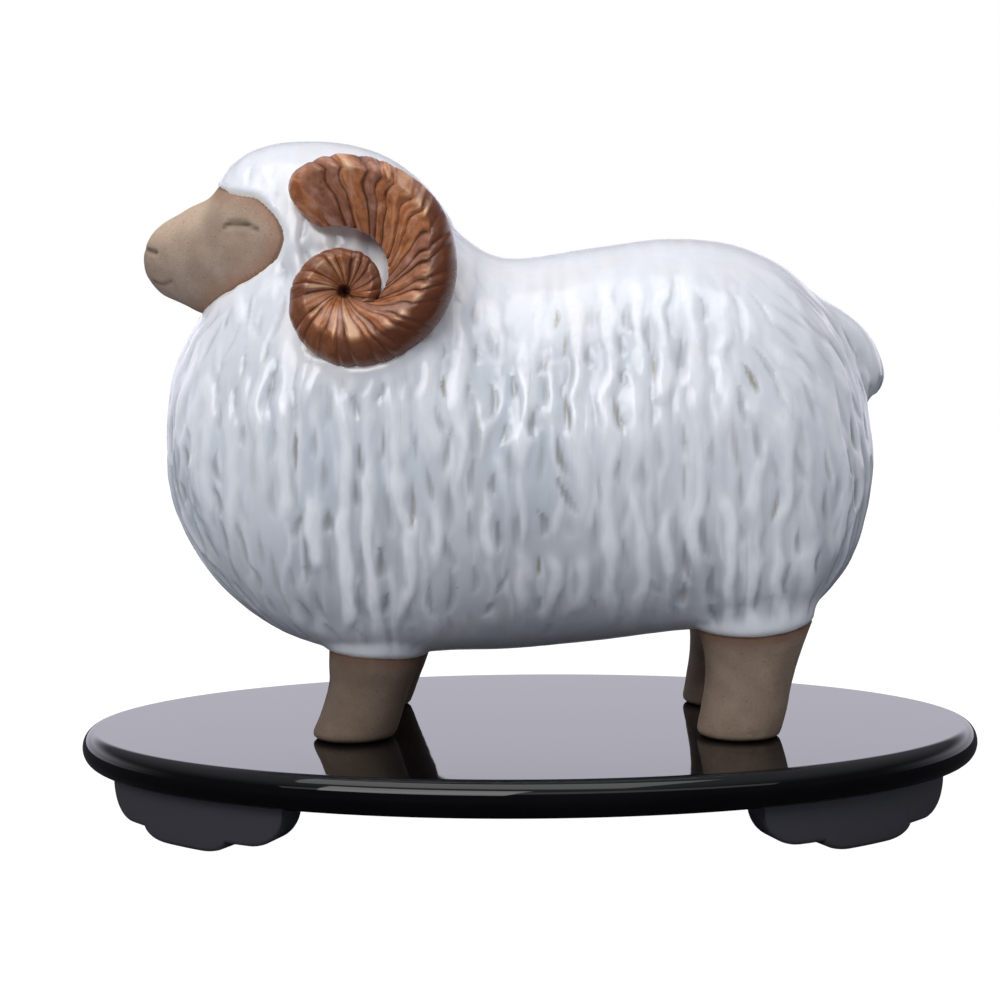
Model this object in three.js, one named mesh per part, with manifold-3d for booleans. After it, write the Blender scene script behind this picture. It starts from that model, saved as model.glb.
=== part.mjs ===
// A ceramic ram, one of the twelve animals of the zodiac, on an oval lacquered stand.
// Millimetres, +Z up. The origin is on the table under the middle of the stand, the long side of the
// stand is along X, and the ram looks towards -X.
import * as THREE from 'three';
import { mergeVertices } from 'three/addons/utils/BufferGeometryUtils.js';
import Module from 'manifold-3d';

const wasm = await Module();
wasm.setup();

// Driving sizes of the stand
const standLength = 270;
const standWidth = 171;
const boardThickness = 10;
const rimDepth = 4.2;
const footHeight = 15;
const footLength = 69;
const footThickness = 11;
const footInset = 6;
const footEdge = 1.6;
const footAngle = 43;
const lobeRise = 3.2;
// Ends of the flat sole, of the middle lobe and of the side lobe, in half lengths of the foot
const lobeEnds = { flat: 0.2, middle: 0.46, side: 0.68 };
const endRise = 0.9;
const glueGap = 0.3;

// Driving sizes of the ram
const ramLength = 222;
const restGap = 0.1;
const strokeDepth = 0.7;
const ridgeDepth = 0.5;
const hornRidges = 25;
const faceStep = 1.4;

const boardTop = footHeight + boardThickness;

// The rows below draw the ram at a length of 222: x from the middle of the stand, z from its soles
const size = ramLength / 222;

// Rows at the real size: each number in them is a length but the one in the column that is kept
function sized(rows, kept) {
  return rows.map((row) => row.map((value, k) => (k === kept ? value : value * size)));
}

// Torso from chest to rump: x, top, bottom, half width, how round its lower half is (1 is an ellipse)
const torsoRows = sized([
  [-106.2, 88, 88, 0.5, 0.9],
  [-105, 101, 75, 15, 0.9],
  [-102.2, 112, 63, 26, 0.9],
  [-96.8, 122.5, 52, 35.5, 0.88],
  [-86.5, 136, 39, 44.5, 0.85],
  [-70, 148.5, 28.8, 50.5, 0.68],
  [-48, 157.5, 24, 53, 0.48],
  [-30, 159, 23.4, 53, 0.56],
  [-18, 147.5, 23, 52.5, 0.72],
  [-4, 140, 23, 52, 0.82],
  [22, 143, 25.2, 52, 0.82],
  [44, 145.2, 28.5, 52, 0.66],
  [63, 142.8, 30.8, 51, 0.46],
  [79, 135.6, 33.4, 46.5, 0.5],
  [89.5, 125, 39.5, 39.5, 0.68],
  [97, 112.5, 49.5, 29.5, 0.85],
  [101.8, 99, 66, 17, 0.9],
  [103.6, 84, 84, 0.5, 0.9],
], 4);
const torsoRings = 47;
const torsoSides = 26;
const widestShare = 0.42;

// Strokes of the fleece: sides of a ring to one stroke, and how steep the surface is where they fade in
const strokeSides = 5;
const strokeFade = { none: 0.97, full: 0.75 };
const deepestShare = 0.2;

// Head from muzzle to nape: top x, top z, bottom x, bottom z, half width
const headRows = sized([
  [-113.7, 140.5, -113.7, 139.5, 0.5],
  [-112.4, 146.6, -112.8, 135.4, 7],
  [-108.6, 151.2, -108.6, 130.6, 11.3],
  [-101.5, 155.4, -101.5, 127.2, 15],
  [-93, 160.4, -95, 123, 19],
  [-84.4, 170.3, -87, 116, 25.5],
  [-75, 174.7, -78, 108, 30],
  [-63, 175.7, -66, 102, 33],
  [-50, 174.3, -52, 98, 34],
  [-38, 169.8, -38, 98, 33],
  [-27.5, 161.2, -27, 102, 29.5],
  [-19.5, 149, -20, 110, 22],
  [-15, 133, -16, 124, 8],
]);
const headRings = 20;
const headSides = 18;

// Where the fleece ends around the face, seen from the side: x, z
const faceBorder = sized([
  [-95.6, 123.6], [-89.2, 127.4], [-78.2, 132.2], [-70.2, 136.8], [-66.9, 143.6],
  [-68.9, 150], [-75, 156], [-83.2, 158.7], [-90.5, 162],
]);
const borderSteps = 24;
// The corners in front of the ram that close the space of the face
const faceFront = sized([[-130, 164], [-130, 122.5]]);
const faceDepth = 60 * size;

// The step down from the fleece to the face grows between these two x, and the face ends behind the third
const stepStart = -99 * size;
const stepFull = -90 * size;
const faceBack = -60 * size;

// Closed eye, nostril and mouth, cut into the face: radius of the cut, and points as x, z
const faceLines = [
  { radius: 0.9, points: sized([[-85, 148.3], [-81.9, 149.3], [-74.6, 146.9]]) },
  { radius: 0.9, points: sized([[-111.4, 144.4], [-110.2, 144], [-108.6, 143]]) },
  { radius: 0.6, points: sized([[-109.6, 133.2], [-107.4, 133], [-104, 132]]) },
];

// One horn, a spiral seen from the side, from root to tip: angle in degrees, outer radius, half width, y
// and inner radius, which is nearly nothing in the coil, so that its folds meet in a pit
const hornCentre = { x: -46.6 * size, z: 127.2 * size };
const hornRows = sized([
  [121.5, 38, 9.6, 34, 18.8],
  [90, 38, 9.8, 37, 18.4],
  [45, 35.2, 10, 41.5, 15.2],
  [0, 29.9, 9.8, 44.5, 10.3],
  [-45, 24.3, 9, 46, 6.6],
  [-90, 21.4, 8, 46.5, 1],
  [-150, 17.9, 6.7, 46.5, 1],
  [-210, 14.3, 5.5, 46, 1],
  [-270, 11.6, 4.7, 45, 1],
  [-330, 9.7, 3.7, 44, 1],
  [-398, 6.4, 2.6, 43, 1],
], 0);
const hornSides = 12;
// Section of the horn: how sharp its keel is, how deep it goes in towards the head, in half widths, and
// by how much more, so that every turn is joined to the head
const keelPower = 1.15;
const inwardShare = 1.3;
const inwardMore = 1;
// The root is rounded over its first rings, and the first of them has some size already
const rootRings = 3;
const rootStart = 0.6;

// Legs from sole to belly: z, middle x, half width
const frontLegRows = sized([
  [0, -49.6, 9.6], [0.6, -49.5, 11.2], [2.2, -49.2, 12], [8, -46.9, 11.8],
  [16, -44.2, 12.2], [24, -42.8, 13.4], [40, -42, 13],
]);
const hindLegRows = sized([
  [0, 61.7, 9.6], [0.6, 61.8, 11.2], [2.2, 61.9, 11.9], [8, 63.1, 12.2],
  [16, 64.5, 12.4], [25, 65.7, 13.9], [33, 65.6, 17],
]);
// Fleece over the top of each leg: z, middle x, half width
const shoulderRows = sized([
  [24.2, -42.8, 11], [24.6, -42.8, 13.8], [27, -42.6, 15.2], [34, -42, 16], [46, -41, 16],
]);
const haunchRows = sized([
  [30.2, 65.7, 12], [30.6, 65.7, 16.8], [33, 65.6, 18], [40, 65, 18.2], [52, 63, 17],
]);
const legSpread = 26.3 * size;
const legSides = 14;

// The tail hangs down the rump: half its length, width and thickness, its lean and its middle
const tailHalf = [20 * size, 12 * size, 10.5 * size];
const tailLean = 50;
const tailMiddle = { x: 93.4 * size, z: 112.6 * size };

function smooth(low, high, value) {
  const t = Math.min(Math.max((value - low) / (high - low), 0), 1);
  return t * t * (3 - 2 * t);
}

// The row at a share of the way along a list of rows, on a smooth curve through all of them
function rowAt(rows, share) {
  const last = rows.length - 1;
  const step = Math.min(Math.floor(share * last), last - 1);
  const t = share * last - step;
  const before = rows[Math.max(step - 1, 0)];
  const after = rows[Math.min(step + 2, last)];
  return rows[step].map((start, k) => {
    const end = rows[step + 1][k];
    const leave = (end - before[k]) / 2;
    const arrive = (after[k] - start) / 2;
    const bend = 2 * (start - end) + leave + arrive;
    return start + t * (leave + t * (3 * (end - start) - 2 * leave - arrive + t * bend));
  });
}

// Rows spread evenly along the same curve
function evenRows(rows, count) {
  const fine = 400;
  const samples = Array.from({ length: fine + 1 }, (_, i) => rowAt(rows, i / fine));
  const lengths = [0];
  for (let i = 1; i <= fine; i++) {
    lengths.push(lengths[i - 1] + Math.hypot(...samples[i].map((v, k) => v - samples[i - 1][k])));
  }
  return Array.from({ length: count }, (_, i) => {
    const wanted = (lengths[fine] * i) / (count - 1);
    const next = Math.max(1, lengths.findIndex((length) => length >= wanted - 1e-9));
    const part = (wanted - lengths[next - 1]) / (lengths[next] - lengths[next - 1]);
    return rowAt(rows, (next - 1 + part) / fine);
  });
}

// A closed body through rings of points, each end filled from the middle of its ring
function loft(rings) {
  const sides = rings[0].length;
  const middle = (ring) => ring.reduce((sum, p) => sum.add(p), new THREE.Vector3()).divideScalar(sides);
  const points = [...rings.flat(), middle(rings[0]), middle(rings.at(-1))];
  const index = [];
  for (let j = 0; j < sides; j++) {
    const k = (j + 1) % sides;
    index.push(points.length - 2, k, j);
    index.push(points.length - 1, points.length - 2 - sides + j, points.length - 2 - sides + k);
    for (let i = 0; i < rings.length - 1; i++) {
      const a = i * sides;
      index.push(a + j, a + k, a + sides + k, a + j, a + sides + k, a + sides + j);
    }
  }
  const geometry = new THREE.BufferGeometry().setFromPoints(points);
  geometry.setIndex(index);
  return geometry;
}

function volume(positions, index) {
  const corner = (i) => new THREE.Vector3().fromArray(positions, 3 * index[i]);
  let total = 0;
  for (let i = 0; i < index.length; i += 3) {
    total += corner(i).dot(corner(i + 1).cross(corner(i + 2))) / 6;
  }
  return total;
}

// A manifold solid with its faces out, from any closed geometry
function solid(geometry) {
  const bare = geometry.clone();
  bare.deleteAttribute('normal');
  bare.deleteAttribute('uv');
  const merged = mergeVertices(bare, 1e-4);
  const vertProperties = new Float32Array(merged.attributes.position.array);
  const triVerts = new Uint32Array(merged.index.array);
  if (volume(vertProperties, triVerts) < 0) {
    triVerts.reverse();
  }
  return new wasm.Manifold(new wasm.Mesh({ numProp: 3, vertProperties, triVerts }));
}

function toGeometry(body) {
  const mesh = body.getMesh();
  const geometry = new THREE.BufferGeometry();
  geometry.setAttribute('position', new THREE.BufferAttribute(mesh.vertProperties, 3));
  geometry.setIndex(new THREE.BufferAttribute(mesh.triVerts, 1));
  return geometry;
}

// How far a stroke of the fleece cuts in: every second ring, broken along its length, none on the back
function strokeCut(ring, side, up) {
  const fromTop = Math.min(side, torsoSides - side);
  const broken = (fromTop + 2 * ring) % strokeSides === 0;
  const inStroke = ring % 2 === 1 && !broken;
  return inStroke ? strokeDepth * smooth(strokeFade.none, strokeFade.full, up) : 0;
}

function torsoRing([x, top, bottom, half, roundness], ring) {
  const middle = bottom + widestShare * (top - bottom);
  return Array.from({ length: torsoSides }, (_, side) => {
    const angle = (2 * Math.PI * side) / torsoSides;
    const power = Math.cos(angle) > 0 ? 1 : roundness;
    const up = Math.sign(Math.cos(angle)) * Math.abs(Math.cos(angle)) ** power;
    const out = Math.sign(Math.sin(angle)) * Math.abs(Math.sin(angle)) ** power;
    const reach = up > 0 ? top - middle : middle - bottom;
    const cut = Math.min(strokeCut(ring, side, up), deepestShare * half);
    return new THREE.Vector3(x, (half - cut) * out, middle + (reach - cut) * up);
  });
}

// How far the bare face lies under the fleece around it: nothing at the muzzle, a step at the border
function faceInset(x) {
  return faceStep * smooth(stepStart, stepFull, x);
}

function headRing([topX, topZ, bottomX, bottomZ, half], inset) {
  const top = new THREE.Vector3(topX, 0, topZ);
  const bottom = new THREE.Vector3(bottomX, 0, bottomZ);
  const middle = top.clone().add(bottom).multiplyScalar(0.5);
  const upright = top.clone().sub(middle);
  upright.setLength(upright.length() - inset);
  return Array.from({ length: headSides }, (_, side) => {
    const angle = (2 * Math.PI * side) / headSides;
    const point = middle.clone().addScaledVector(upright, Math.cos(angle));
    point.y = (half - inset) * Math.sin(angle);
    return point;
  });
}

function legRing([z, x, half], y) {
  return Array.from({ length: legSides }, (_, side) => {
    const angle = (2 * Math.PI * side) / legSides;
    return new THREE.Vector3(x + half * Math.cos(angle), y + half * Math.sin(angle), z);
  });
}

// A flat shape seen from the side, as thick as the whole ram
function sidePrism(outline, depth) {
  const shape = new THREE.Shape(outline.map(([x, z]) => new THREE.Vector2(x, z)));
  const prism = new THREE.ExtrudeGeometry(shape, { depth: 2 * depth, bevelEnabled: false });
  prism.rotateX(Math.PI / 2);
  prism.translate(0, depth, 0);
  return prism;
}

// The space that the bare face takes: in front of the border, above the chest
function faceSpace() {
  const border = Array.from({ length: borderSteps + 1 }, (_, i) => rowAt(faceBorder, i / borderSteps));
  return sidePrism([...border, ...faceFront], faceDepth);
}

// One ring across the horn: a rounded triangle whose keel looks away from the head
function hornRing([degrees, outer, half, y, inner], bulge, side) {
  const angle = THREE.MathUtils.degToRad(degrees);
  const outward = new THREE.Vector3(Math.cos(angle), 0, Math.sin(angle));
  const centre = new THREE.Vector3(hornCentre.x, side * y, hornCentre.z);
  centre.addScaledVector(outward, outer - half);
  return Array.from({ length: hornSides }, (_, k) => {
    const turn = (2 * Math.PI * k) / hornSides;
    const across = Math.cos(turn);
    const away = Math.sin(turn);
    const shows = k <= hornSides / 2;
    const reach = half + (shows ? bulge : 0);
    const depth = shows ? reach * Math.max(away, 0) ** keelPower : (inwardShare * half + inwardMore) * away;
    const along = across > 0 ? reach : outer - half - inner;
    const point = centre.clone().addScaledVector(outward, along * across);
    point.y += side * depth;
    return point;
  });
}

function horn(side) {
  const count = 2 * hornRidges + 1;
  const rings = evenRows(hornRows, count).map((row, i) => {
    const [degrees, outer, half, y, inner] = row;
    const fromRoot = Math.min((i + rootStart) / rootRings, 1);
    const rootSize = Math.sqrt(1 - (1 - fromRoot) ** 2);
    const ridge = (i % 2 === 0 ? ridgeDepth : -ridgeDepth) * (half / hornRows[2][2]);
    const shrink = half * (1 - rootSize);
    return hornRing([degrees, outer - shrink, half * rootSize, y, inner + shrink], ridge, side);
  });
  return solid(loft(rings));
}

// A short round groove or dent that follows a few points on the face
function faceMark(points, radius) {
  const path = new THREE.CatmullRomCurve3(points.map((p) => new THREE.Vector3(...p)));
  const section = new THREE.Shape().absarc(0, 0, radius, 0, 2 * Math.PI);
  const mark = new THREE.ExtrudeGeometry(section, { steps: 6, curveSegments: 3, extrudePath: path });
  return solid(mark);
}

// The point of the bare face that shows at x, z when it is seen from its side
function onFace([x, z], side) {
  const rows = evenRows(headRows, 120);
  const leans = ([topX, topZ, bottomX, bottomZ]) => {
    return (x - bottomX) * (topZ - bottomZ) - (z - bottomZ) * (topX - bottomX);
  };
  const [topX, topZ, bottomX, bottomZ, half] = rows.find((row) => leans(row) < 0);
  const height = Math.hypot(topX - bottomX, topZ - bottomZ) / 2;
  const reach = Math.hypot(x - (topX + bottomX) / 2, z - (topZ + bottomZ) / 2) / height;
  return [x, side * (half - faceInset(topX)) * Math.sqrt(Math.max(1 - reach ** 2, 0)), z];
}

function faceMarks(side) {
  return faceLines
    .map(({ radius, points }) => faceMark(points.map((p) => onFace(p, side)), radius))
    .reduce((all, mark) => all.add(mark));
}

function tailLump() {
  const lump = new THREE.SphereGeometry(1, 14, 8);
  lump.scale(...tailHalf);
  lump.rotateY(THREE.MathUtils.degToRad(tailLean));
  lump.translate(tailMiddle.x, 0, tailMiddle.z);
  return solid(lump);
}

function ram() {
  const torso = solid(loft(evenRows(torsoRows, torsoRings).map((row, i) => torsoRing(row, i))));
  const headLines = evenRows(headRows, headRings);
  const head = solid(loft(headLines.map((row) => headRing(row, 0))));
  const faceRows = headLines.filter((row) => row[0] < faceBack);
  const face = solid(loft(faceRows.map((row) => headRing(row, faceInset(row[0])))));
  let body = torso.add(head).add(tailLump()).subtract(solid(faceSpace())).add(face);
  for (const side of [-1, 1]) {
    for (const rows of [frontLegRows, hindLegRows, shoulderRows, haunchRows]) {
      body = body.add(solid(loft(rows.map((row) => legRing(row, side * legSpread)))));
    }
    body = body.add(horn(side)).subtract(faceMarks(side));
  }
  return toGeometry(body).translate(0, 0, boardTop + restGap);
}

// A point of the oval that runs at an inset from the edge of the stand
function ovalPoint(angle, inset, z) {
  const a = standLength / 2 - rimDepth;
  const b = standWidth / 2 - rimDepth;
  const normal = new THREE.Vector2(b * Math.cos(angle), a * Math.sin(angle)).normalize();
  const x = a * Math.cos(angle) + normal.x * (rimDepth - inset);
  const y = b * Math.sin(angle) + normal.y * (rimDepth - inset);
  return new THREE.Vector3(x, y, z);
}

function board() {
  const sides = 44;
  const rimSteps = 6;
  const rings = Array.from({ length: rimSteps + 1 }, (_, i) => {
    const turn = (Math.PI * i) / rimSteps;
    const inset = rimDepth * (1 - Math.sin(turn));
    const z = boardTop - (boardThickness / 2) * (1 - Math.cos(turn));
    return Array.from({ length: sides }, (_, j) => ovalPoint((2 * Math.PI * j) / sides, inset, z));
  });
  return loft(rings);
}

// Height of the lower edge of a bracket foot, at a share of its half length: a middle lobe that is
// round at both sides, a level side lobe above it, and a quick round rise
function footEdgeHeight(share) {
  const round = (value) => 1 - Math.sqrt(1 - value ** 2);
  if (share < lobeEnds.flat) {
    return 0;
  }
  if (share < lobeEnds.middle) {
    return lobeRise * round((share - lobeEnds.flat) / (lobeEnds.middle - lobeEnds.flat));
  }
  if (share < lobeEnds.side) {
    return lobeRise;
  }
  const rise = footHeight - glueGap - footEdge - lobeRise;
  return lobeRise + endRise * rise * round((share - lobeEnds.side) / (1 - lobeEnds.side));
}

// A bracket foot follows the oval under the board, as a row of upright sections
function bracketFoot() {
  const { flat, middle, side } = lobeEnds;
  const between = (start, end, share) => start + share * (end - start);
  const shares = [
    1, between(side, 1, 0.97), between(side, 1, 0.86), between(side, 1, 0.6), side, middle,
    between(flat, middle, 0.9), between(flat, middle, 0.6), flat,
  ];
  const stations = [...shares.map((share) => -share), ...shares.toReversed()];
  const top = footHeight - glueGap;
  const sections = stations.map((share) => {
    const low = footEdgeHeight(Math.abs(share));
    const angle = ovalAngle(THREE.MathUtils.degToRad(footAngle), (share * footLength) / 2);
    const profile = [
      [0, top], [0, low + footEdge], [footEdge, low],
      [footThickness - footEdge, low], [footThickness, low + footEdge], [footThickness, top],
    ];
    return profile.map(([inset, z]) => ovalPoint(angle, footInset + inset, z));
  });
  return loft(sections);
}

// The angle on the oval at a distance along its edge from a first angle
function ovalAngle(from, along) {
  const steps = 40;
  const nudge = 1e-3;
  let angle = from;
  for (let i = 0; i < steps; i++) {
    const here = ovalPoint(angle, footInset, 0);
    const ahead = ovalPoint(angle + nudge, footInset, 0);
    angle += (along / steps) * (nudge / here.distanceTo(ahead));
  }
  return angle;
}

function named(name, geometry, color, roughness) {
  const material = new THREE.MeshStandardMaterial({ color, roughness, metalness: 0 });
  const mesh = new THREE.Mesh(geometry, material);
  mesh.name = name;
  return mesh;
}

const model = new THREE.Group();
model.add(named('sheep', ram(), 0xe3e6ec, 0.25));
model.add(named('stand_board', toGeometry(solid(board())), 0x0b0b0d, 0.08));

const footPlaces = { front_left: [-1, -1], front_right: [1, -1], back_left: [-1, 1], back_right: [1, 1] };
for (const [place, [right, back]] of Object.entries(footPlaces)) {
  const foot = bracketFoot().scale(right, back, 1);
  model.add(named(`stand_foot_${place}`, toGeometry(solid(foot)), 0x0b0b0d, 0.08));
}

export default model;
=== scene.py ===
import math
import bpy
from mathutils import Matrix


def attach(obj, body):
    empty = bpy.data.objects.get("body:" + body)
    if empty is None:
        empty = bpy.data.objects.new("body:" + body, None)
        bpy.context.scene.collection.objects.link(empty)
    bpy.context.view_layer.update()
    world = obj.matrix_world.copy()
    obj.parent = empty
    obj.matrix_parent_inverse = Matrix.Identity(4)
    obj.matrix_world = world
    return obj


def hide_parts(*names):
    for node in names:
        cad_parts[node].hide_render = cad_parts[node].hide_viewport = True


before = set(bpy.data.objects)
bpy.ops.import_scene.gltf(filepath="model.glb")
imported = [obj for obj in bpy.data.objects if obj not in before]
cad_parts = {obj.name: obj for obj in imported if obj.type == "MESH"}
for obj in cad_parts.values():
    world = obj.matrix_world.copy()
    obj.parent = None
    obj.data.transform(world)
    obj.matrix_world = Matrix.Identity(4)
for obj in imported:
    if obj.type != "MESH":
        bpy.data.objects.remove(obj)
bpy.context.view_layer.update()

# A glazed ceramic ram with coiled horns on an oval lacquered stand.
# Tables are in millimetres, with x along the stand. The ram's z counts from its soles, and that of the
# stand and the camera from the ground. The studio is in metres.
from types import SimpleNamespace

import bpy
import numpy as np
from mathutils import Matrix, Vector, kdtree

mm = 0.001
lift = np.array([0, 0, 25.05])   # the soles stand a hair above the board


# Helpers for shapes

def smoothStep(low, high, value):
    t = np.clip((value - low) / (high - low), 0, 1)
    return t * t * (3 - 2 * t)


def bell(value, width):
    # 1 where the value is 0, fading to both sides
    return np.exp(-(value / width) ** 2)


def rowsAt(rows, shares):
    # points on a smooth curve through all rows, at shares of the way along
    rows = np.asarray(rows, float)
    last = len(rows) - 1
    at = np.clip(shares, 0, 1) * last
    step = np.minimum(at.astype(int), last - 1)
    t = (at - step)[:, None]
    start, end = rows[step], rows[step + 1]
    leave = (end - rows[np.maximum(step - 1, 0)]) / 2
    arrive = (rows[np.minimum(step + 2, last)] - start) / 2
    bend = 2 * (start - end) + leave + arrive
    return start + t * (leave + t * (3 * (end - start) - 2 * leave - arrive + t * bend))


def evenRows(rows, count):
    # rows at even distances along the curve
    shares = np.linspace(0, 1, 801)
    fine = rowsAt(rows, shares)
    along = np.r_[0, np.cumsum(np.linalg.norm(np.diff(fine, axis=0), axis=1))]
    return rowsAt(rows, np.interp(np.linspace(0, along[-1], count), along, shares))


def softNoise(points, seed, octaves=1):
    # smooth noise from about -1 to 1, one cell to a unit, from a block of random values that repeats
    side = 24
    result = np.zeros(len(points))
    for octave in range(octaves):
        table = np.random.default_rng(seed + octave).uniform(-1, 1, (side, side, side))
        scaled = points * 2.03 ** octave
        cell = np.floor(scaled).astype(int)
        part = scaled - cell
        part = part * part * (3 - 2 * part)
        for corner in range(8):
            move = np.array([corner & 1, corner >> 1 & 1, corner >> 2 & 1])
            weight = np.prod(np.where(move, part, 1 - part), axis=1)
            x, y, z = ((cell + move) % side).T
            result += 0.5 ** octave * weight * table[x, y, z]
    return result


def loft(rings):
    # a closed skin over rings of points, each end closed from its middle
    count, sides, _ = rings.shape
    points = np.vstack([rings.reshape(-1, 3), rings[0].mean(axis=0), rings[-1].mean(axis=0)])
    here = np.arange(sides)
    after = (here + 1) % sides
    bands = []
    for low in range(0, (count - 1) * sides, sides):
        high = low + sides
        bands.append(np.stack([low + here, low + after, high + after, high + here], axis=1))
    quads = np.vstack(bands).tolist()
    first, last, low = count * sides, count * sides + 1, (count - 1) * sides
    pairs = list(zip(here.tolist(), after.tolist()))
    faces = quads + [[first, b, a] for a, b in pairs] + [[last, low + a, low + b] for a, b in pairs]
    # faces must look outwards
    triangles = np.array([face[:3] for face in faces] + [[f[0], f[2], f[3]] for f in quads])
    a, b, c = (points[corner] for corner in triangles.T)
    if np.einsum("ij,ij->i", a, np.cross(b, c)).sum() < 0:
        faces = [face[::-1] for face in faces]
    return points, faces


def joined(parts):
    points, faces, start = [], [], 0
    for partPoints, partFaces in parts:
        points.append(partPoints)
        faces += [[v + start for v in face] for face in partFaces]
        start += len(partPoints)
    return np.vstack(points), faces


def addObject(name, data):
    made = bpy.data.objects.new(name, data)
    bpy.context.collection.objects.link(made)
    return made


def meshOf(name, points, faces):
    mesh = bpy.data.meshes.new(name)
    mesh.from_pydata((points * mm).tolist(), [], faces)
    return mesh


def placePiece(name, mesh, replaced, finish):
    # the mesh becomes a piece that stands for a solid of the part
    mesh.shade_smooth()
    mesh.materials.append(finish)
    piece = addObject(name, mesh)
    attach(piece, "root")
    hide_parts(replaced)
    return piece


def makePiece(name, points, faces, replaced, finish):
    mesh = meshOf(name, points, faces)
    mesh.validate()
    return placePiece(name, mesh, replaced, finish)


def readMesh(items, key, width, kind=np.float32):
    flat = np.empty(len(items) * width, kind)
    items.foreach_get(key, flat)
    return flat.reshape(-1, width)


def pointsOf(mesh):
    return readMesh(mesh.vertices, "co", 3).astype(float) / mm


def normalsOf(mesh):
    return readMesh(mesh.vertex_normals, "vector", 3).astype(float)


def edgesOf(mesh):
    return readMesh(mesh.edges, "vertices", 2, np.int32)


def movePoints(mesh, points):
    mesh.vertices.foreach_set("co", (points * mm).astype(np.float32).ravel())
    mesh.update()


def paint(piece, layers):
    # values for each point, which the materials read by their names
    for name, values in layers.items():
        layer = piece.data.attributes.new(name, "FLOAT", "POINT")
        layer.data.foreach_set("value", np.asarray(values, np.float32))


def neighbourMean(values, edges):
    # the mean over each point's neighbours, for values of any width
    count = np.maximum(np.bincount(edges.ravel(), minlength=len(values)), 1)
    columns = values.reshape(len(values), -1)
    mean = np.empty_like(columns)
    for k in range(columns.shape[1]):
        total = np.bincount(edges[:, 0], columns[edges[:, 1], k], len(values))
        total += np.bincount(edges[:, 1], columns[edges[:, 0], k], len(values))
        mean[:, k] = total / count
    return mean.reshape(values.shape)


def relaxed(points, edges, rounds, weight):
    # each round moves the points towards their neighbours, by 0.6 of the way where the weight is 1
    for _ in range(rounds):
        points = points + weight[:, None] * 0.6 * (neighbourMean(points, edges) - points)
    return points


def distanceToLine(points, line):
    # from each flat point to a line through many flat points
    best = np.full(len(points), 1e9)
    for start, end in zip(line[:-1], line[1:]):
        side = end - start
        t = np.clip(((points - start) @ side) / (side @ side), 0, 1)
        best = np.minimum(best, np.linalg.norm(points - start - t[:, None] * side, axis=1))
    return best


def isInside(points, outline):
    inside = np.zeros(len(points), bool)
    for (x0, z0), (x1, z1) in zip(outline, np.roll(outline, -1, axis=0)):
        crosses = (z0 > points[:, 1]) != (z1 > points[:, 1])
        reach = x0 + (points[:, 1] - z0) * (x1 - x0) / (z1 - z0 if z1 != z0 else 1e-9)
        inside ^= crosses & (points[:, 0] < reach)
    return inside


def searchTree(points):
    tree = kdtree.KDTree(len(points))
    for i, point in enumerate(points):
        tree.insert(point, i)
    tree.balance()
    return tree


# The ram's shape, from the same rows as the solid

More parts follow.
